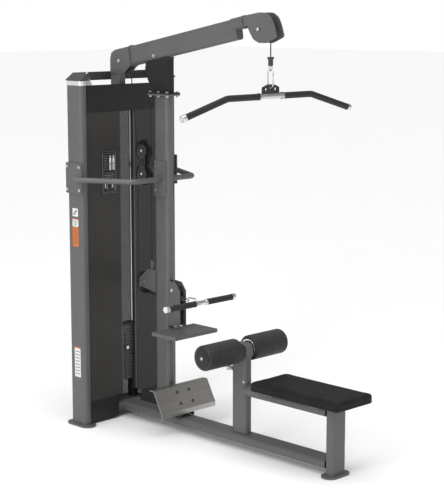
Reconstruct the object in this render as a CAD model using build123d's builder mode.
from build123d import *
import os
from math import atan2, cos, degrees, hypot, radians, sin

# Lat pulldown and low row machine. Millimetres, +Z up, +X from the weight tower towards the seat,
# the machine is symmetric about Y = 0 and stands on Z = 0, centred on its own footprint.

os.makedirs("parts", exist_ok=True)

# ---------------------------------------------------------------- driving dimensions
MAST_X = -472.0  # the upright mast, which the other stations are measured from
TUBE_LONG = 110.0  # one oval tube section is used for the whole frame
TUBE_SHORT = 50.0
TUBE_R = 20.0
WALL = 3.0
BEAM_Z = 63.0  # centre height of the floor beam
BEAM_TOP = BEAM_Z + TUBE_SHORT / 2
SPLICE_Z = 1853.0  # bolted flange between mast and upper mast
FLANGE_T = 8.0

UPRIGHT_X = MAST_X - 343.0
UPRIGHT_L = 125.0
UPRIGHT_Y = 325.0
UPRIGHT_W = 50.0
UPRIGHT_TOP = 1923.0
PLATE_T = 10.0  # foot plates
FOOT_L = 196.0
FOOT_W = 90.0

PANEL_X = MAST_X - 300.0  # flat front of the tower covers
PANEL_T = 3.0
PANEL_FOLD_Y = 248.0
PANEL_END_Y = 299.5
PANEL_LOW, KICK_TOP, HEADER_LOW, HEADER_TOP = 10.5, 134.0, 1748.0, 1897.0
SLOT_HALF = 57.0
CROWN_TOP, CROWN_DIP = 1953.0, 1896.0

STACK_X = MAST_X - 386.0
PLATE_X, PLATE_Y = 90.0, 280.0
STACK_LOW = 200.0
PITCH = 18.4
PLATES = 15
PINNED = 5
HEAD_H = 43.0
ROD_Y = 95.0
ROD_R = 12.5
TOP_BEAM_Z = 1840.0

SHEAVE_R = 57.0  # radius to the cable's centre line
RIM_R = 62.0
SHEAVE_W = 20.0
CABLE_R = 3.0
AXLE_R = 6.0
RUN = 0.05  # running clearance on shafts
HOUSING_Y = 27.0  # middle of a pulley housing's side plate
HOUSING_T = 4.0

FRONT_X, FRONT_Z = MAST_X + 735.0, 2205.0
MASTP_X, MASTP_Z = MAST_X - 45.0, 2057.0
REAR_X, REAR_Z = MAST_X - 329.0, 2023.0
BLOCK_X = MAST_X - 160.0
BLOCK_TOP_Z, BLOCK_LOW_Z = 1534.0, 1406.0
GUIDE_X, GUIDE_Z = MAST_X - 160.0, 797.0
ROW_X = MAST_X + 87.0
ROW_R = 42.0
ROW_Z = GUIDE_Z - SHEAVE_R
ROW_GAP = ROW_R + 4.0  # from the cable to each row pulley's axle

BOOM_ANGLE = atan2(FRONT_Z - MASTP_Z, FRONT_X - MASTP_X)
BOOM_DROP = 26.5  # the boom's centre line runs this far below the cable
BOOM_REAR, BOOM_FRONT = -193.0, 632.0  # stations along the cable line from the mast pulley
STUB_R = 33.0
JOURNAL_R = 15.0

LAT_X = FRONT_X + SHEAVE_R
LAT_BAR_Z = 1873.0
LAT_HALF = 612.0
LAT_BEND_Y = 305.0
LAT_END_Z = 1788.0
GRIP_R = 16.5
BAR_R = 13.0
ROW_BAR_X = MAST_X + 283.0
ROW_HALF = 259.0

KNEE_X = MAST_X + 597.0
KNEE_TOP = 505.0
ROLLER_Z = 537.0
ROLLER_R = 67.0
ROLLER_IN, ROLLER_OUT = 46.0, 292.0
ROLLER_AXLE_R = 12.5
LEG_X = MAST_X + 1251.0
RAIL_Z = 331.0
PAD_X0, PAD_X1 = MAST_X + 775.0, MAST_X + 1385.0
PAD_HALF = 148.0
PAD_LOW, PAD_TOP = 372.0, 422.0


def save(piece, label):
    """Name one finished piece and write it as its own STEP file."""
    piece.part.label = label
    export_step(piece.part, f"parts/{label}.step")


def cable_line(station, rise):
    """Point on the boom's own axes: along the cable from the mast pulley, and up from it."""
    x = MASTP_X - SHEAVE_R * sin(BOOM_ANGLE) + station * cos(BOOM_ANGLE) - rise * sin(BOOM_ANGLE)
    z = MASTP_Z + SHEAVE_R * cos(BOOM_ANGLE) + station * sin(BOOM_ANGLE) + rise * cos(BOOM_ANGLE)
    return (x, 0, z)


def boom_plane(station, rise=0.0):
    """Plane square to the boom, its local y pointing up the boom's height."""
    return Plane(origin=cable_line(station, rise), x_dir=(0, 1, 0), z_dir=(cos(BOOM_ANGLE), 0, sin(BOOM_ANGLE)))


def tube(plane, width, height, length, wall=WALL, radius=TUBE_R):
    """Oval frame tube, hollow when wall is given."""
    with BuildPart() as made:
        with BuildSketch(plane):
            RectangleRounded(width, height, radius)
            if wall:
                RectangleRounded(width - 2 * wall, height - 2 * wall, radius - wall, mode=Mode.SUBTRACT)
        extrude(amount=length)
    return made.part


def side_plate(points, corner, y, thickness, holes=()):
    """Flat plate standing in the machine's centre plane, at y, from its outline in X and Z."""
    with BuildPart() as made:
        with BuildSketch(Plane.XZ.offset(-y)):
            with BuildLine():
                FilletPolyline(*points, radius=corner, close=True)
            make_face()
            for hx, hz, hr in holes:
                with Locations((hx, hz)):
                    Circle(hr, mode=Mode.SUBTRACT)
        extrude(amount=thickness / 2, both=True)
    return made.part


def post_bar(radius, start, end):
    """Round bar between two points."""
    line = Vector(*end) - Vector(*start)
    with BuildPart() as made:
        with BuildSketch(Plane(origin=start, z_dir=line)):
            Circle(radius)
        extrude(amount=line.length)
    return made.part


def sheave(x, z, groove_r, rim_r, width):
    """Grooved pulley turning about Y, with a plain bore running on its axle."""
    half = width / 2
    with BuildPart() as made:
        with BuildSketch(Plane.XY):
            with BuildLine():
                Polyline(
                    (AXLE_R + RUN, -half),
                    (AXLE_R + RUN, half),
                    (18, half),
                    (20, half - 3),
                    (rim_r - 14, half - 3),
                    (rim_r - 10, half),
                    (rim_r - 1, half),
                    (rim_r, half - 1),
                    (groove_r - CABLE_R - 0.4, 3.2),
                    (groove_r - CABLE_R - 1.2, 0),
                    (groove_r - CABLE_R - 0.4, -3.2),
                    (rim_r, 1 - half),
                    (rim_r - 1, -half),
                    (rim_r - 10, -half),
                    (rim_r - 14, 3 - half),
                    (20, 3 - half),
                    (18, -half),
                    close=True,
                )
            make_face()
        revolve(axis=Axis.Y)
    return made.part.moved(Location((x, 0, z)))


def cable_arc(x, z, radius, start, sweep_deg):
    """Length of cable lying round a pulley, from the start angle in the X-Z plane."""
    first = radians(start)
    origin = (x + radius * cos(first), 0, z + radius * sin(first))
    with BuildPart() as made:
        with BuildLine(Plane.XZ):
            CenterArc((x, z), radius, start, sweep_deg)
        with BuildSketch(Plane(origin=origin, z_dir=(-sin(first), 0, cos(first)))):
            Circle(CABLE_R)
        sweep()
    return made.part


# ---------------------------------------------------------------- floor frame
# One oval beam lies flat from the tower to the seat leg, a cross tube joins the tower uprights.
with BuildPart() as base_frame:
    add(tube(Plane.YZ.offset(UPRIGHT_X + 40), TUBE_LONG, TUBE_SHORT, LEG_X - 25 - UPRIGHT_X - 40).moved(Location((0, 0, BEAM_Z))))
    with BuildSketch(Plane.XZ.offset(-(UPRIGHT_Y - UPRIGHT_W / 2))):
        with Locations((UPRIGHT_X, BEAM_Z)):
            RectangleRounded(80, TUBE_SHORT, TUBE_R)
    extrude(amount=2 * UPRIGHT_Y - UPRIGHT_W)
    with BuildSketch(Plane.XY.offset(BEAM_TOP - 4)):
        with Locations((STACK_X, 0)):
            RectangleRounded(84, 270, 10)
    extrude(amount=4)
save(base_frame, "base_frame")

# ---------------------------------------------------------------- weight tower
# Two oval uprights on rounded foot plates carry the tower.
with BuildPart() as uprights:
    for side in (-1, 1):
        with BuildSketch(Plane.XY.offset(PLATE_T)):
            with Locations((UPRIGHT_X, side * UPRIGHT_Y)):
                RectangleRounded(UPRIGHT_L, UPRIGHT_W, TUBE_R)
                RectangleRounded(UPRIGHT_L - 2 * WALL, UPRIGHT_W - 2 * WALL, TUBE_R - WALL, mode=Mode.SUBTRACT)
        extrude(amount=UPRIGHT_TOP - PLATE_T)
        with BuildSketch(Plane.XY):
            with Locations((UPRIGHT_X, side * UPRIGHT_Y)):
                SlotOverall(FOOT_L, FOOT_W)
        extrude(amount=PLATE_T)
save(uprights, "uprights")

REAR_PANEL_X = UPRIGHT_X - 97.0


def rear_plan(thick):
    """Plan outline of a sheet folded round the back of the tower, between the uprights."""
    edge_x = UPRIGHT_X - UPRIGHT_L / 2
    return (
        (edge_x, -PANEL_END_Y),
        (REAR_PANEL_X, -270),
        (REAR_PANEL_X, 270),
        (edge_x, PANEL_END_Y),
        (edge_x + thick, PANEL_END_Y),
        (REAR_PANEL_X + thick, 270 - thick / 3),
        (REAR_PANEL_X + thick, thick / 3 - 270),
        (edge_x + thick, -PANEL_END_Y),
    )


# Dark moulded caps slope up from the outer side of each upright, joined by a rear crown bar.
CAP_HIGH = 1962.0
CROWN_BAR_LOW = 1916.0
with BuildPart() as top_caps:
    for side in (-1, 1):
        outer = side * (UPRIGHT_Y + UPRIGHT_W / 2)
        inner = side * (UPRIGHT_Y - UPRIGHT_W / 2)
        with BuildSketch(Plane.YZ.offset(UPRIGHT_X - UPRIGHT_L / 2)):
            with BuildLine():
                Polyline(
                    (outer, UPRIGHT_TOP + 0.2),
                    (outer, UPRIGHT_TOP + 4),
                    (inner, CAP_HIGH),
                    (inner - side * 14, CAP_HIGH),
                    (inner - side * 14, UPRIGHT_TOP + 0.2),
                    close=True,
                )
            make_face()
        extrude(amount=UPRIGHT_L)
    with BuildSketch(Plane.XY.offset(CROWN_BAR_LOW)):
        with BuildLine():
            Polyline(*rear_plan(9.0), close=True)
        make_face()
    extrude(amount=CAP_HIGH - CROWN_BAR_LOW)
save(top_caps, "top_caps")


def front_plan(y_in, y_out, low, high, x=PANEL_X):
    """Folded sheet following the tower's front plan between two Y stations on both sides."""
    fold_x = UPRIGHT_X + UPRIGHT_L / 2 - 14
    with BuildPart() as made:
        for side in (-1, 1):
            with BuildSketch(Plane.XY.offset(low)):
                with BuildLine():
                    Polyline(
                        (x, side * y_in),
                        (x, side * PANEL_FOLD_Y),
                        (fold_x, side * y_out),
                        (fold_x - PANEL_T, side * y_out),
                        (x - PANEL_T, side * PANEL_FOLD_Y),
                        (x - PANEL_T, side * y_in),
                        close=True,
                    )
                make_face()
            extrude(amount=high - low)
    return made.part


with BuildPart() as front_shrouds:
    add(front_plan(SLOT_HALF, PANEL_END_Y, KICK_TOP + 0.3, HEADER_LOW - 0.3))
save(front_shrouds, "front_shrouds")

with BuildPart() as end_panels:
    add(front_plan(87.0, PANEL_END_Y, PANEL_LOW, KICK_TOP))
    add(front_plan(0.0, PANEL_END_Y, HEADER_LOW, HEADER_TOP))
save(end_panels, "end_panels")

# Bright crown: folded like the covers, dipping between its raised ends, with a band on each upright
# and a rounded guard down each edge of the stack slot.
with BuildPart() as bright_trim:
    add(front_plan(0.0, PANEL_END_Y, HEADER_TOP + 0.2, CROWN_TOP))
    with BuildSketch(Plane.YZ.offset(PANEL_X - 40)):
        with BuildLine():
            Polyline(
                (-284, CROWN_TOP + 1),
                (-278, CROWN_TOP - 4),
                (-250, CROWN_DIP + 3),
                (-238, CROWN_DIP),
                (238, CROWN_DIP),
                (250, CROWN_DIP + 3),
                (278, CROWN_TOP - 4),
                (284, CROWN_TOP + 1),
                close=True,
            )
        make_face()
    extrude(amount=100, mode=Mode.SUBTRACT)
    for side in (-1, 1):
        with BuildSketch(Plane.XY.offset(HEADER_TOP + 1)):
            with Locations((UPRIGHT_X, side * UPRIGHT_Y)):
                RectangleRounded(UPRIGHT_L + 3, UPRIGHT_W + 3, TUBE_R + 1.5)
                RectangleRounded(UPRIGHT_L + 0.1, UPRIGHT_W + 0.1, TUBE_R, mode=Mode.SUBTRACT)
        extrude(amount=UPRIGHT_TOP - HEADER_TOP - 2)
    for side in (-1, 1):
        with BuildSketch(Plane.XY.offset(UPRIGHT_TOP - 1)):
            with Locations((PANEL_X, side * (286 + 20))):
                Rectangle(60, 40)
        extrude(amount=60, mode=Mode.SUBTRACT)
    for side in (-1, 1):
        with BuildSketch(Plane.XY.offset(KICK_TOP + 12)):
            with Locations((PANEL_X - PANEL_T - 15, side * (SLOT_HALF - 4))):
                RectangleRounded(30, 12, 5)
        extrude(amount=HEADER_LOW - KICK_TOP - 13)
save(bright_trim, "bright_trim")

with BuildPart() as rear_shroud:
    with BuildSketch(Plane.XY.offset(PANEL_LOW)):
        with BuildLine():
            Polyline(*rear_plan(PANEL_T), close=True)
        make_face()
    extrude(amount=HEADER_TOP - 20 - PANEL_LOW)
save(rear_shroud, "rear_shroud")

# Exercise placard: a thin plate stuck on the left cover.
with BuildPart() as placard:
    with BuildSketch(Plane.YZ.offset(PANEL_X)):
        with Locations((-139, 1414)):
            RectangleRounded(108, 242, 8)
    extrude(amount=2)
save(placard, "placard")

# Top cross tube with the hollow post that carries the rear pulley housing.
POST_X = STACK_X + 11.0
with BuildPart() as top_beam:
    with BuildSketch(Plane.XZ.offset(-(UPRIGHT_Y - UPRIGHT_W / 2))):
        with Locations((STACK_X + 11, TOP_BEAM_Z + 25)):
            RectangleRounded(54, 50, 8)
    extrude(amount=2 * UPRIGHT_Y - UPRIGHT_W)
    with BuildSketch(Plane.XY.offset(TOP_BEAM_Z + 50)):
        with Locations((POST_X, 0)):
            RectangleRounded(75, 50, 8)
    extrude(amount=1953 - TOP_BEAM_Z - 50)
    with BuildSketch(Plane.XY.offset(TOP_BEAM_Z - 1)):
        with Locations((STACK_X, 0)):
            Circle(10)
        with Locations((STACK_X, ROD_Y), (STACK_X, -ROD_Y)):
            Circle(ROD_R)
    extrude(amount=120, mode=Mode.SUBTRACT)
save(top_beam, "top_beam")

# Chrome guide rods, with a rubber buffer round the foot of each under the stack.
with BuildPart() as guide_rods:
    with BuildSketch(Plane.XY.offset(BEAM_TOP)):
        with Locations((STACK_X, ROD_Y), (STACK_X, -ROD_Y)):
            Circle(ROD_R)
    extrude(amount=TOP_BEAM_Z + 30 - BEAM_TOP)
save(guide_rods, "guide_rods")

with BuildPart() as rod_buffers:
    with BuildSketch(Plane.XY.offset(BEAM_TOP)):
        with Locations((STACK_X, ROD_Y), (STACK_X, -ROD_Y)):
            Circle(28)
            Circle(ROD_R, mode=Mode.SUBTRACT)
    extrude(amount=STACK_LOW - BEAM_TOP - 0.5)
save(rod_buffers, "rod_buffers")


def weight_plates(first, count):
    """Cast plates, bored for the guide rods and the selector stem, drilled from the front for the pin."""
    with BuildPart() as made:
        for index in range(first, first + count):
            low = STACK_LOW + index * PITCH
            with BuildSketch(Plane.XY.offset(low)):
                with Locations((STACK_X, 0)):
                    RectangleRounded(PLATE_X, PLATE_Y, 6)
                    Circle(15, mode=Mode.SUBTRACT)
                with Locations((STACK_X, ROD_Y), (STACK_X, -ROD_Y)):
                    Circle(ROD_R + 1, mode=Mode.SUBTRACT)
            extrude(amount=PITCH - 0.5)
            with BuildSketch(Plane.YZ.offset(STACK_X + 12)):
                with Locations((0, low + PITCH / 2)):
                    Circle(5.2)
            extrude(amount=60, mode=Mode.SUBTRACT)
    return made.part


with BuildPart() as lower_plates:
    add(weight_plates(0, PLATES - PINNED))
save(lower_plates, "lower_plates")

with BuildPart() as pinned_plates:
    add(weight_plates(PLATES - PINNED, PINNED))
save(pinned_plates, "pinned_plates")

# Head plate with the drilled selector stem that hangs through the stack, and the cable fitting on top.
HEAD_LOW = STACK_LOW + PLATES * PITCH
STEM_TOP = HEAD_LOW + HEAD_H + 72
with BuildPart() as head_plate:
    with BuildSketch(Plane.XY.offset(HEAD_LOW)):
        with Locations((STACK_X, 0)):
            RectangleRounded(PLATE_X, PLATE_Y, 6)
        with Locations((STACK_X, ROD_Y), (STACK_X, -ROD_Y)):
            Circle(ROD_R + 0.6, mode=Mode.SUBTRACT)
    extrude(amount=HEAD_H)
    with BuildSketch(Plane.XY.offset(STACK_LOW + 1)):
        with Locations((STACK_X, 0)):
            Circle(12)
    extrude(amount=HEAD_LOW + HEAD_H - STACK_LOW - 1)
    with BuildSketch(Plane.XY.offset(HEAD_LOW + HEAD_H)):
        with Locations((STACK_X, 0)):
            RegularPolygon(15, 6)
    extrude(amount=14)
    with BuildSketch(Plane.XY.offset(HEAD_LOW + HEAD_H + 14)):
        with Locations((STACK_X, 0)):
            Circle(8)
    extrude(amount=58)
    for index in range(PLATES):
        with BuildSketch(Plane.YZ.offset(STACK_X - 20)):
            with Locations((0, STACK_LOW + index * PITCH + PITCH / 2)):
                Circle(5.2)
        extrude(amount=40, mode=Mode.SUBTRACT)
save(head_plate, "head_plate")

PIN_Z = STACK_LOW + (PLATES - PINNED) * PITCH + PITCH / 2
PIN_END = STACK_X + PLATE_X / 2
with BuildPart() as selector_pin:
    with BuildSketch(Plane.YZ.offset(STACK_X - 10)):
        with Locations((0, PIN_Z)):
            Circle(4.8)
    extrude(amount=PLATE_X / 2 + 14)
    with BuildSketch(Plane.YZ.offset(PIN_END + 4)):
        with Locations((0, PIN_Z)):
            Circle(9)
    extrude(amount=20)
save(selector_pin, "selector_pin")

# ---------------------------------------------------------------- mast, boom and pulley housings
with BuildPart() as mast:
    add(tube(Plane.XY.offset(BEAM_TOP), TUBE_LONG, TUBE_SHORT, SPLICE_Z - FLANGE_T - BEAM_TOP).moved(Location((MAST_X, 0, 0))))
    with BuildSketch(Plane.XY.offset(SPLICE_Z - FLANGE_T)):
        with Locations((MAST_X, 0)):
            RectangleRounded(170, 100, 12)
    extrude(amount=FLANGE_T)
    with BuildSketch(Plane.YZ.offset(MAST_X - 80)):
        with Locations((0, ROW_Z)):
            Circle(9)
    extrude(amount=160, mode=Mode.SUBTRACT)
    with BuildSketch(Plane.YZ.offset(MAST_X + 38)):
        with Locations((0, ROW_Z)):
            RectangleRounded(26, 190, 6)
    extrude(amount=30, mode=Mode.SUBTRACT)
save(mast, "mast")


def upper_outline(inset):
    """Outline of the upper mast in X and Z: upright front, flared back, top along the boom."""
    left = MAST_X - TUBE_LONG / 2
    right = MAST_X + TUBE_LONG / 2
    boom_low = -BOOM_DROP - TUBE_LONG / 2
    rear = cable_line(-75 + inset, boom_low - inset)
    front = cable_line(104 - inset, boom_low - inset)
    return (
        (left + inset, SPLICE_Z + FLANGE_T),
        (left - 4 + inset, SPLICE_Z + 22),
        (left - 44 + inset, 1924),
        (left - 66 + inset, 1984),
        (rear[0], rear[2]),
        (front[0], front[2]),
        (right - inset, front[2] - 12),
        (right - inset, SPLICE_Z + FLANGE_T),
    )


with BuildPart() as upper_mast:
    with BuildSketch(Plane.XY.offset(SPLICE_Z + 0.2)):
        with Locations((MAST_X, 0)):
            RectangleRounded(170, 100, 12)
    extrude(amount=FLANGE_T - 0.2)
    with BuildSketch(Plane.XZ):
        with BuildLine():
            Polyline(*upper_outline(0.0), close=True)
        make_face()
    extrude(amount=TUBE_SHORT / 2, both=True)
    with BuildSketch(Plane.XZ):
        with BuildLine():
            Polyline(*upper_outline(5.0), close=True)
        make_face()
    extrude(amount=TUBE_SHORT / 2 - 5, both=True, mode=Mode.SUBTRACT)
    with BuildSketch(Plane.XZ):
        with Locations((MASTP_X, MASTP_Z)):
            Circle(RIM_R + 3)
        with Locations((MASTP_X - SHEAVE_R, 1960)):
            Rectangle(18, 200)
    extrude(amount=SHEAVE_W / 2 + 4, both=True, mode=Mode.SUBTRACT)
save(upper_mast, "upper_mast")

# Boom: inclined oval tube, rear flange ring, and the round bearing tube for the swivel at its front.
with BuildPart() as boom:
    add(tube(boom_plane(BOOM_REAR, -BOOM_DROP), TUBE_SHORT, TUBE_LONG, BOOM_FRONT - BOOM_REAR - 6))
    with BuildSketch(boom_plane(BOOM_REAR - 8, -BOOM_DROP)):
        RectangleRounded(68, 120, 28)
        with Locations((0, BOOM_DROP)):
            Circle(9, mode=Mode.SUBTRACT)
    extrude(amount=8)
    with BuildSketch(boom_plane(BOOM_FRONT - 6, -BOOM_DROP)):
        RectangleRounded(TUBE_SHORT, TUBE_LONG, TUBE_R)
    extrude(amount=6)
    with BuildSketch(boom_plane(BOOM_FRONT - 42)):
        Circle(STUB_R)
    extrude(amount=82)
    with BuildSketch(boom_plane(BOOM_FRONT - 60)):
        Circle(JOURNAL_R + RUN)
    extrude(amount=120, mode=Mode.SUBTRACT)
    with BuildSketch(Plane.XZ):
        with Locations((MASTP_X, MASTP_Z)):
            Circle(RIM_R + 3)
        with Locations((MASTP_X - SHEAVE_R, 1980)):
            Rectangle(18, 160)
    extrude(amount=SHEAVE_W / 2 + 4, both=True, mode=Mode.SUBTRACT)
    with BuildSketch(Plane.XZ):
        with Locations((MASTP_X, MASTP_Z)):
            Circle(AXLE_R)
    extrude(amount=TUBE_SHORT, both=True, mode=Mode.SUBTRACT)
save(boom, "boom")

# Rear housing: two side plates with a rounded rear shoulder and a slanted front corner.
REAR_SHAPE = [
    (REAR_X - 78, REAR_Z - 70),
    (REAR_X - 78, REAR_Z + 52),
    (REAR_X + 90, REAR_Z + 82),
    (REAR_X + 90, REAR_Z - 24),
    (REAR_X + 34, REAR_Z - 70),
]
with BuildPart() as rear_housing:
    for side in (-1, 1):
        add(side_plate(REAR_SHAPE, (8, 60, 8, 8, 20), side * HOUSING_Y, HOUSING_T, ((REAR_X, REAR_Z, AXLE_R),)))
    with BuildSketch(Plane.XZ):
        with Locations((REAR_X - 72, REAR_Z + 8)):
            Rectangle(4, 70)
    extrude(amount=HOUSING_Y - HOUSING_T / 2, both=True)
    with BuildSketch(boom_plane(BOOM_REAR - 8)):
        Rectangle(300, 400)
    extrude(amount=200, mode=Mode.SUBTRACT)
save(rear_housing, "rear_housing")

# Swivelling front housing: side plates, the journal that turns in the boom's bearing, and its axle.
FRONT_SHAPE = [
    (FRONT_X - 84, FRONT_Z + 22),
    (FRONT_X - 84, FRONT_Z + 70),
    (FRONT_X + 4, FRONT_Z + 83),
    (FRONT_X + 50, FRONT_Z + 82),
    (FRONT_X + 86, FRONT_Z + 60),
    (FRONT_X + 106, FRONT_Z + 22),
    (FRONT_X + 126, FRONT_Z - 36),
    (FRONT_X + 50, FRONT_Z - 68),
    (FRONT_X + 2, FRONT_Z - 68),
    (FRONT_X - 36, FRONT_Z - 52),
    (FRONT_X - 60, FRONT_Z - 20),
]
with BuildPart() as front_housing:
    for side in (-1, 1):
        add(side_plate(FRONT_SHAPE, (6, 8, 60, 44, 44, 44, 12, 12, 40, 40, 30), side * HOUSING_Y, HOUSING_T))
    with BuildSketch(boom_plane(BOOM_FRONT + 42.5)):
        Circle(STUB_R + 1)
    extrude(amount=14)
    with BuildSketch(boom_plane(BOOM_FRONT + 56.5)):
        RectangleRounded(2 * HOUSING_Y - HOUSING_T, 50, 6)
    extrude(amount=48)
    with BuildSketch(boom_plane(BOOM_FRONT + 2)):
        Circle(JOURNAL_R)
    extrude(amount=41)
    with BuildSketch(boom_plane(BOOM_FRONT - 10)):
        Circle(CABLE_R + 3)
    extrude(amount=140, mode=Mode.SUBTRACT)
    with BuildSketch(Plane.XZ):
        with Locations((FRONT_X, FRONT_Z)):
            Circle(AXLE_R)
    extrude(amount=HOUSING_Y + 8, both=True)
save(front_housing, "front_housing")


def one_sheave(label, x, z, groove_r=SHEAVE_R, rim_r=RIM_R):
    """Pulley as a node of its own."""
    with BuildPart() as made:
        add(sheave(x, z, groove_r, rim_r, SHEAVE_W))
    save(made, label)


one_sheave("front_pulley", FRONT_X, FRONT_Z)
one_sheave("mast_pulley", MASTP_X, MASTP_Z)
one_sheave("rear_pulley", REAR_X, REAR_Z)
one_sheave("block_upper_pulley", BLOCK_X, BLOCK_TOP_Z)
one_sheave("block_lower_pulley", BLOCK_X, BLOCK_LOW_Z)
one_sheave("guide_pulley", GUIDE_X, GUIDE_Z)
one_sheave("row_upper_pulley", ROW_X, ROW_Z + ROW_GAP, ROW_R, ROW_R)
one_sheave("row_lower_pulley", ROW_X, ROW_Z - ROW_GAP, ROW_R, ROW_R)

# Floating block: two waisted cheek plates and the two axles that they hold.
BLOCK_MID = (BLOCK_TOP_Z + BLOCK_LOW_Z) / 2
with BuildPart() as block_frame:
    for side in (-1, 1):
        with BuildSketch(Plane.XZ.offset(side * 17)):
            with Locations((BLOCK_X, BLOCK_MID)):
                Rectangle(44, BLOCK_TOP_Z - BLOCK_LOW_Z)
            with Locations((BLOCK_X, BLOCK_TOP_Z), (BLOCK_X, BLOCK_LOW_Z)):
                Circle(34)
            with Locations((BLOCK_X - 10, BLOCK_MID), (BLOCK_X + 10, BLOCK_MID)):
                SlotOverall(40, 9, rotation=90, mode=Mode.SUBTRACT)
        extrude(amount=2, both=True)
    with BuildSketch(Plane.XZ):
        with Locations((BLOCK_X, BLOCK_TOP_Z), (BLOCK_X, BLOCK_LOW_Z)):
            Circle(AXLE_R)
    extrude(amount=24, both=True)
save(block_frame, "block_frame")

# Guide bracket behind the mast, with the fixed end of the lower cable above it.
with BuildPart() as guide_bracket:
    for side in (-1, 1):
        with BuildSketch(Plane.XZ.offset(side * 17)):
            with BuildLine():
                FilletPolyline(
                    (MAST_X - 55, GUIDE_Z - 44),
                    (GUIDE_X - 30, GUIDE_Z - 22),
                    (GUIDE_X - 30, GUIDE_Z + 22),
                    (MAST_X - 118, GUIDE_Z + 82),
                    (MAST_X - 55, GUIDE_Z + 82),
                    radius=8,
                    close=True,
                )
            make_face()
            with Locations((GUIDE_X, GUIDE_Z)):
                Circle(AXLE_R, mode=Mode.SUBTRACT)
        extrude(amount=2, both=True)
    with BuildSketch(Plane.XZ):
        with Locations((MAST_X - 103, GUIDE_Z + 72)):
            Circle(5)
    extrude(amount=22, both=True)
    with BuildSketch(Plane.XY.offset(GUIDE_Z + 64)):
        with Locations((MAST_X - 103, 0)):
            Circle(8)
    extrude(amount=64)
save(guide_bracket, "guide_bracket")

# Low row housing on the front of the mast.
with BuildPart() as row_housing:
    for side in (-1, 1):
        with BuildSketch(Plane.XZ.offset(side * 22)):
            with BuildLine():
                FilletPolyline(
                    (MAST_X + 55, ROW_Z - 153),
                    (MAST_X + 55, ROW_Z + 96),
                    (MAST_X + 112, ROW_Z + 90),
                    (MAST_X + 145, ROW_Z + 46),
                    (MAST_X + 145, ROW_Z - 153),
                    radius=9,
                    close=True,
                )
            make_face()
            with Locations((ROW_X, ROW_Z + ROW_GAP), (ROW_X, ROW_Z - ROW_GAP)):
                Circle(AXLE_R, mode=Mode.SUBTRACT)
        extrude(amount=2, both=True)
save(row_housing, "row_housing")

# Fixed pulley axles with their bolt heads.
with BuildPart() as frame_axles:
    axle_spots = (
        (MASTP_X, MASTP_Z, TUBE_SHORT / 2),
        (REAR_X, REAR_Z, HOUSING_Y + HOUSING_T / 2),
        (GUIDE_X, GUIDE_Z, 19),
        (ROW_X, ROW_Z + ROW_GAP, 24),
        (ROW_X, ROW_Z - ROW_GAP, 24),
    )
    for ax, az, reach in axle_spots:
        with BuildSketch(Plane.XZ):
            with Locations((ax, az)):
                Circle(AXLE_R)
        extrude(amount=reach, both=True)
        for side in (-1, 1):
            with BuildSketch(Plane.XZ.offset(side * (reach + 3.5))):
                with Locations((ax, az)):
                    Circle(10)
            extrude(amount=3.5, both=True)
save(frame_axles, "frame_axles")

# ---------------------------------------------------------------- grab rails, tray, footrest
RAIL_LEVEL = 1390.0
with BuildPart() as grab_rails:
    for side in (-1, 1):
        with BuildLine(Plane.XY.offset(RAIL_LEVEL)):
            FilletPolyline(
                (MAST_X - 312, side * 373),
                (MAST_X, side * 217),
                (MAST_X, side * 31),
                radius=52,
            )
        with BuildSketch(Plane(origin=(MAST_X, side * 31, RAIL_LEVEL), z_dir=(0, side, 0))):
            Circle(15)
        sweep()
    for side in (-1, 1):
        with BuildSketch(Plane.XY.offset(RAIL_LEVEL - 40)):
            with Locations((UPRIGHT_X + 1, side * UPRIGHT_Y)):
                Rectangle(UPRIGHT_L + 8, UPRIGHT_W + 12)
        extrude(amount=80, mode=Mode.SUBTRACT)
save(grab_rails, "grab_rails")

with BuildPart() as rail_brackets:
    for side in (-1, 1):
        with BuildSketch(Plane.XZ.offset(side * (UPRIGHT_Y + UPRIGHT_W / 2 + 3))):
            with Locations((UPRIGHT_X + 1, RAIL_LEVEL + 5)):
                RectangleRounded(UPRIGHT_L + 8, 168, 6)
        extrude(amount=3, both=True)
        with BuildSketch(Plane.XZ.offset(side * (TUBE_SHORT / 2 + 3))):
            with Locations((MAST_X, RAIL_LEVEL + 5)):
                RectangleRounded(92, 196, 6)
        extrude(amount=3, both=True)
save(rail_brackets, "rail_brackets")

TRAY_Z = 566.0
TRAY_X0 = MAST_X + 62.0
with BuildPart() as tray:
    with BuildSketch(Plane.XY.offset(TRAY_Z)):
        with Locations((TRAY_X0 + 96, 0)):
            RectangleRounded(192, 320, 6)
    extrude(amount=3)
    with BuildSketch(Plane.XY.offset(TRAY_Z - 16)):
        with Locations((TRAY_X0 + 96, 0)):
            RectangleRounded(192, 320, 6)
            RectangleRounded(186, 314, 4, mode=Mode.SUBTRACT)
    extrude(amount=16)
    with BuildSketch(Plane.YZ.offset(MAST_X + TUBE_LONG / 2)):
        with Locations((0, TRAY_Z - 24)):
            RectangleRounded(40, 54, 3)
    extrude(amount=TRAY_X0 - MAST_X - TUBE_LONG / 2)
save(tray, "tray")

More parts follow.
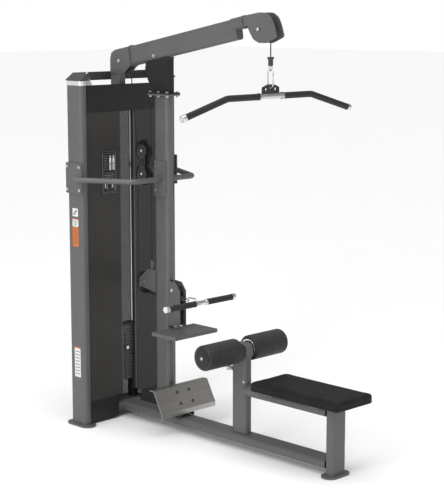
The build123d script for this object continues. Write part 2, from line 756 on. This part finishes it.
# Footrest: brushed plate folded back along its top and its foot, on two legs from the beam.
FOOT_TOP_X, FOOT_TOP_Z = MAST_X + 125.0, 256.0
FOOT_LOW_X, FOOT_LOW_Z = MAST_X + 190.0, 137.0
FOOT_HALF = 203.0
with BuildPart() as footrest:
    with BuildSketch(Plane.XZ.offset(-FOOT_HALF)):
        with BuildLine():
            Polyline(
                (FOOT_TOP_X - 34, FOOT_TOP_Z),
                (FOOT_TOP_X, FOOT_TOP_Z),
                (FOOT_LOW_X, FOOT_LOW_Z),
                (FOOT_LOW_X, FOOT_LOW_Z - 26),
                (FOOT_LOW_X - 3, FOOT_LOW_Z - 26),
                (FOOT_LOW_X - 3, FOOT_LOW_Z - 1),
                (FOOT_TOP_X - 2, FOOT_TOP_Z - 3),
                (FOOT_TOP_X - 34, FOOT_TOP_Z - 3),
                close=True,
            )
        make_face()
    extrude(amount=2 * FOOT_HALF)
    for y in (-44.0, 44.0):
        with BuildSketch(Plane.XZ.offset(-y)):
            with BuildLine():
                Polyline(
                    (MAST_X + 88, BEAM_TOP),
                    (MAST_X + 96, 200),
                    (FOOT_TOP_X + 10, FOOT_TOP_Z - 22),
                    (FOOT_LOW_X - 6, FOOT_LOW_Z + 7),
                    (FOOT_LOW_X - 8, BEAM_TOP),
                    close=True,
                )
            make_face()
        extrude(amount=2.5, both=True)
save(footrest, "footrest")

# ---------------------------------------------------------------- knee rollers and seat
with BuildPart() as knee_post:
    add(tube(Plane.XY.offset(BEAM_TOP), TUBE_LONG, TUBE_SHORT, KNEE_TOP - BEAM_TOP).moved(Location((KNEE_X, 0, 0))))
    with BuildSketch(Plane.YZ.offset(KNEE_X - TUBE_LONG / 2 - 14)):
        with Locations((0, 425)):
            Circle(12)
    extrude(amount=14)
    with BuildSketch(Plane.YZ.offset(KNEE_X - TUBE_LONG / 2 - 30)):
        with Locations((0, 425)):
            Circle(6 + RUN)
    extrude(amount=40, mode=Mode.SUBTRACT)
save(knee_post, "knee_post")

with BuildPart() as roller_carrier:
    with BuildSketch(Plane.XY.offset(300)):
        with Locations((KNEE_X, 0)):
            RectangleRounded(98, 38, 12)
    extrude(amount=KNEE_TOP + 0.5 - 300)
    with BuildSketch(Plane.XZ):
        with BuildLine():
            FilletPolyline(
                (KNEE_X - 55, KNEE_TOP + 0.5),
                (KNEE_X - 55, 574),
                (KNEE_X + 55, 574),
                (KNEE_X + 55, KNEE_TOP + 0.5),
                radius=[0.5, 30, 30, 0.5],
                close=True,
            )
        make_face()
    extrude(amount=TUBE_SHORT / 2, both=True)
    with BuildSketch(Plane.XZ):
        with Locations((KNEE_X, ROLLER_Z)):
            Circle(ROLLER_AXLE_R)
    extrude(amount=ROLLER_OUT + 6, both=True)
save(roller_carrier, "roller_carrier")


def knee_roller(label, side):
    """Foam roller with its end discs, bored to run on the cross axle."""
    with BuildPart() as made:
        with BuildSketch(Plane.XZ.offset(-side * ROLLER_IN)):
            with Locations((KNEE_X, ROLLER_Z)):
                Circle(ROLLER_R)
                Circle(ROLLER_AXLE_R + RUN, mode=Mode.SUBTRACT)
        extrude(amount=-side * (ROLLER_OUT - ROLLER_IN))
        fillet(made.edges().filter_by(GeomType.CIRCLE).group_by(SortBy.RADIUS)[-1], radius=8)
    save(made, label)


knee_roller("left_roller", -1)
knee_roller("right_roller", 1)

with BuildPart() as knee_pin:
    with BuildSketch(Plane.YZ.offset(KNEE_X - TUBE_LONG / 2 - 50)):
        with Locations((0, 425)):
            Circle(16)
    extrude(amount=22)
    with BuildSketch(Plane.YZ.offset(KNEE_X - TUBE_LONG / 2 - 30)):
        with Locations((0, 425)):
            Circle(6)
    extrude(amount=32.5)
save(knee_pin, "knee_pin")

with BuildPart() as seat_frame:
    add(tube(Plane.YZ.offset(KNEE_X + TUBE_LONG / 2), TUBE_LONG, TUBE_SHORT, LEG_X - 25 - KNEE_X - TUBE_LONG / 2).moved(Location((0, 0, RAIL_Z))))
    for x in (PAD_X0 + 110, PAD_X1 - 190):
        with BuildSketch(Plane.XY.offset(RAIL_Z + TUBE_SHORT / 2)):
            with Locations((x, 0)):
                RectangleRounded(60, 220, 6)
        extrude(amount=PAD_LOW - RAIL_Z - TUBE_SHORT / 2)
    with BuildSketch(Plane.XY.offset(PLATE_T)):
        with Locations((LEG_X, 0)):
            RectangleRounded(TUBE_SHORT, TUBE_LONG, TUBE_R)
            RectangleRounded(TUBE_SHORT - 2 * WALL, TUBE_LONG - 2 * WALL, TUBE_R - WALL, mode=Mode.SUBTRACT)
    extrude(amount=RAIL_Z + TUBE_SHORT / 2 - PLATE_T)
    with BuildSketch(Plane.XY):
        with Locations((LEG_X, 0)):
            SlotOverall(170, 90, rotation=90)
    extrude(amount=PLATE_T)
save(seat_frame, "seat_frame")

with BuildPart() as seat_pad:
    with BuildSketch(Plane.XY.offset(PAD_LOW + 0.2)):
        with Locations(((PAD_X0 + PAD_X1) / 2, 0)):
            RectangleRounded(PAD_X1 - PAD_X0, 2 * PAD_HALF, 30)
    extrude(amount=PAD_TOP - PAD_LOW - 0.2)
    fillet(seat_pad.edges().group_by(Axis.Z)[-1], radius=12)
save(seat_pad, "seat_pad")


# ---------------------------------------------------------------- pulldown bar
STOP_L = 44.0
EYE_DROP = 14.0
LINK_DROP = 4.2
LINK_HALF = 17.0


def cable_stop(label, plane):
    """Flared rubber stop round the cable's end, bored for the swivel eye's stem."""
    with BuildPart() as made:
        with BuildSketch(plane):
            Circle(12.5)
        extrude(amount=STOP_L - 14)
        with BuildSketch(plane.offset(STOP_L - 14)):
            Circle(12.5)
        with BuildSketch(plane.offset(STOP_L - 6)):
            Circle(18)
        loft()
        with BuildSketch(plane.offset(STOP_L - 6)):
            Circle(18)
        extrude(amount=6)
        with BuildSketch(plane):
            Circle(4 + RUN)
        extrude(amount=24, mode=Mode.SUBTRACT)
    save(made, label)


def snap_link(label, origin, down, reach):
    """Swivel eye with its stem, and an oval snap link of the given reach hanging in the eye."""
    drop = Vector(*down)
    cross = Vector(0, 1, 0)
    side = drop.cross(cross)
    eye = Vector(*origin) + drop * EYE_DROP
    near = eye + drop * (LINK_DROP + LINK_HALF)
    far = eye + drop * (LINK_DROP + reach - LINK_HALF)
    with BuildPart() as near_end:
        with Locations(Location(Plane(origin=near, x_dir=drop, z_dir=cross))):
            Torus(LINK_HALF, 4)
        split(bisect_by=Plane(origin=near, z_dir=drop), keep=Keep.BOTTOM)
    with BuildPart() as far_end:
        with Locations(Location(Plane(origin=far, x_dir=drop, z_dir=cross))):
            Torus(LINK_HALF, 4)
        split(bisect_by=Plane(origin=far, z_dir=drop), keep=Keep.TOP)
    with BuildPart() as made:
        add(post_bar(4, tuple(Vector(*origin) - drop * 20), tuple(Vector(*origin) + drop * 4)))
        with Locations(Location(Plane(origin=eye, x_dir=cross, z_dir=side))):
            Torus(11, 2.8)
        add(near_end.part)
        add(far_end.part)
        for way in (-LINK_HALF, LINK_HALF):
            add(post_bar(4, tuple(near + side * way), tuple(far + side * way)))
    save(made, label)


LAT_STOP_Z = 2024.0
LAT_REACH = 86.5
ROW_REACH = 76.0
cable_stop("lat_cable_stop", Plane(origin=(LAT_X, 0, LAT_STOP_Z), z_dir=(0, 0, 1)))
snap_link("lat_snap_link", (LAT_X, 0, LAT_STOP_Z), (0, 0, -1), LAT_REACH)

LAT_PATH = (
    (LAT_X, -LAT_HALF, LAT_END_Z),
    (LAT_X, -LAT_BEND_Y, LAT_BAR_Z),
    (LAT_X, LAT_BEND_Y, LAT_BAR_Z),
    (LAT_X, LAT_HALF, LAT_END_Z),
)
BEND_R = 90.0


def along_lat_bar(radius, bore=0.0):
    """Round section swept along the pulldown bar's bent line."""
    with BuildPart() as made:
        with BuildLine():
            line = FilletPolyline(*LAT_PATH, radius=BEND_R)
        with BuildSketch(Plane(origin=line @ 0.0, z_dir=line % 0.0)):
            Circle(radius)
            if bore:
                Circle(bore, mode=Mode.SUBTRACT)
        sweep()
    return made.part


LUG_HOLE_Z = LAT_STOP_Z - EYE_DROP - LINK_DROP - LAT_REACH - 2.9
with BuildPart() as lat_bar:
    add(along_lat_bar(BAR_R))
    with BuildSketch(Plane.YZ.offset(LAT_X - 4)):
        with BuildLine():
            FilletPolyline(
                (-62, LAT_BAR_Z),
                (-60, LAT_BAR_Z + 46),
                (-22, LUG_HOLE_Z + 16),
                (22, LUG_HOLE_Z + 16),
                (60, LAT_BAR_Z + 46),
                (62, LAT_BAR_Z),
                radius=8,
                close=True,
            )
        make_face()
        with Locations((0, LUG_HOLE_Z)):
            Circle(7.5, mode=Mode.SUBTRACT)
        with Locations((-34, LUG_HOLE_Z - 8), (34, LUG_HOLE_Z - 8)):
            Circle(8, mode=Mode.SUBTRACT)
    extrude(amount=8)
    for side in (-1, 1):
        with BuildSketch(Plane.XZ.offset(side * 84)):
            with Locations((LAT_X, LAT_BAR_Z)):
                Circle(GRIP_R + 2)
        extrude(amount=4, both=True)
save(lat_bar, "lat_bar")

with BuildPart() as lat_grips:
    add(along_lat_bar(GRIP_R, BAR_R + 0.02))
    with BuildSketch(Plane.XZ):
        with Locations((LAT_X, LAT_BAR_Z)):
            Rectangle(80, 80)
    extrude(amount=88.2, both=True, mode=Mode.SUBTRACT)
save(lat_grips, "lat_grips")

# ---------------------------------------------------------------- low row bar
ROW_STOP_X = MAST_X + 165.0
cable_stop("row_cable_stop", Plane(origin=(ROW_STOP_X, 0, ROW_Z), z_dir=(-1, 0, 0)))
snap_link("row_snap_link", (ROW_STOP_X, 0, ROW_Z), (1, 0, 0), ROW_REACH)

ROW_HOLE_X = ROW_STOP_X + EYE_DROP + LINK_DROP + ROW_REACH + 2.9
ROW_BAR_X = ROW_HOLE_X + 21.0
with BuildPart() as row_bar:
    with BuildSketch(Plane.XZ.offset(ROW_HALF)):
        with Locations((ROW_BAR_X, ROW_Z)):
            Circle(BAR_R)
    extrude(amount=-2 * ROW_HALF)
    with BuildSketch(Plane.XY.offset(ROW_Z - 4)):
        with BuildLine():
            FilletPolyline(
                (ROW_BAR_X, -32),
                (ROW_BAR_X, 32),
                (ROW_HOLE_X - 13, 14),
                (ROW_HOLE_X - 13, -14),
                radius=6,
                close=True,
            )
        make_face()
        with Locations((ROW_HOLE_X, 0)):
            Circle(7.5, mode=Mode.SUBTRACT)
    extrude(amount=8)
    for side in (-1, 1):
        with BuildSketch(Plane.XZ.offset(side * 40)):
            with Locations((ROW_BAR_X, ROW_Z)):
                Circle(GRIP_R + 1.5)
        extrude(amount=3, both=True)
save(row_bar, "row_bar")

with BuildPart() as row_grips:
    for side in (-1, 1):
        with BuildSketch(Plane.XZ.offset(side * 43.2)):
            with Locations((ROW_BAR_X, ROW_Z)):
                Circle(GRIP_R)
                Circle(BAR_R + 0.02, mode=Mode.SUBTRACT)
        extrude(amount=side * (ROW_HALF - 43.2 - 8))
save(row_grips, "row_grips")

# ---------------------------------------------------------------- cables, held taut on the pulleys
SLANT = degrees(
    atan2(BLOCK_X - REAR_X, REAR_Z - BLOCK_TOP_Z)
) - degrees(atan2(2 * SHEAVE_R, hypot(hypot(BLOCK_X - REAR_X, REAR_Z - BLOCK_TOP_Z) ** 2 - 4 * SHEAVE_R**2, 0) ** 0.5))
TILT = degrees(BOOM_ANGLE)


def rim_point(x, z, angle):
    """Point on a pulley's cable circle."""
    return (x + SHEAVE_R * cos(radians(angle)), 0, z + SHEAVE_R * sin(radians(angle)))


def strand(start, end):
    """Straight run of cable that stops a hair short of what it meets at each end."""
    along = (Vector(*end) - Vector(*start)).normalized() * 0.1
    return post_bar(CABLE_R, tuple(Vector(*start) + along), tuple(Vector(*end) - along))


with BuildPart() as lat_cable:
    add(post_bar(CABLE_R, (LAT_X, 0, LAT_STOP_Z + STOP_L + 0.1), (LAT_X, 0, FRONT_Z - 0.1)))
save(lat_cable, "lat_cable")

with BuildPart() as swivel_cable:
    add(cable_arc(FRONT_X, FRONT_Z, SHEAVE_R, 0, 90 + TILT))
save(swivel_cable, "swivel_cable")

with BuildPart() as fixed_cables:
    add(post_bar(CABLE_R, rim_point(MASTP_X, MASTP_Z, 90 + TILT), rim_point(FRONT_X, FRONT_Z, 90 + TILT)))
    add(cable_arc(MASTP_X, MASTP_Z, SHEAVE_R, 90 + TILT, 90 - TILT))
    add(cable_arc(REAR_X, REAR_Z, SHEAVE_R, SLANT, 180 - SLANT))
    add(cable_arc(GUIDE_X, GUIDE_Z, SHEAVE_R, 180, 90))
    add(post_bar(CABLE_R, (GUIDE_X, 0, ROW_Z), (ROW_X, 0, ROW_Z)))
save(fixed_cables, "fixed_cables")

with BuildPart() as row_cable:
    add(strand((ROW_X, 0, ROW_Z), (ROW_STOP_X - STOP_L, 0, ROW_Z)))
save(row_cable, "row_cable")

with BuildPart() as block_cable_turns:
    add(cable_arc(BLOCK_X, BLOCK_TOP_Z, SHEAVE_R, 180 + SLANT, 180 - SLANT))
    add(cable_arc(BLOCK_X, BLOCK_LOW_Z, SHEAVE_R, 0, 180))
save(block_cable_turns, "block_cable_turns")

with BuildPart() as block_upper_strands:
    add(strand((BLOCK_X + SHEAVE_R, 0, BLOCK_TOP_Z), (MASTP_X - SHEAVE_R, 0, MASTP_Z)))
    add(strand(rim_point(BLOCK_X, BLOCK_TOP_Z, 180 + SLANT), rim_point(REAR_X, REAR_Z, SLANT)))
save(block_upper_strands, "block_upper_strands")

with BuildPart() as block_lower_strands:
    add(strand((BLOCK_X - SHEAVE_R, 0, GUIDE_Z), (BLOCK_X - SHEAVE_R, 0, BLOCK_LOW_Z)))
    add(strand((BLOCK_X + SHEAVE_R, 0, GUIDE_Z + 128.0), (BLOCK_X + SHEAVE_R, 0, BLOCK_LOW_Z)))
save(block_lower_strands, "block_lower_strands")

with BuildPart() as stack_cable:
    add(strand((STACK_X, 0, STEM_TOP), (STACK_X, 0, REAR_Z)))
save(stack_cable, "stack_cable")

# ---------------------------------------------------------------- shared fasteners
with BuildPart() as bolts:
    for x in (-68, 0, 68):
        for y in (-38, 38):
            with BuildSketch(Plane.XY.offset(SPLICE_Z + FLANGE_T)):
                with Locations((MAST_X + x, y)):
                    RegularPolygon(8, 6)
            extrude(amount=6)
            with BuildSketch(Plane.XY.offset(SPLICE_Z - FLANGE_T - 9)):
                with Locations((MAST_X + x, y)):
                    RegularPolygon(8, 6)
            extrude(amount=9)
    for side in (-1, 1):
        for dz in (-58, 68):
            for x, y in (
                (UPRIGHT_X - 50, UPRIGHT_Y + 31),
                (UPRIGHT_X + 52, UPRIGHT_Y + 31),
                (MAST_X - 30, 31),
            ):
                with BuildSketch(Plane.XZ.offset(-side * (y + 3))):
                    with Locations((x, RAIL_LEVEL + dz)):
                        Circle(8)
                extrude(amount=3, both=True)
save(bolts, "bolts")

print("boom angle", round(TILT, 2), "strand slant", round(SLANT, 2), "stack cable x", STACK_X, REAR_X - SHEAVE_R)
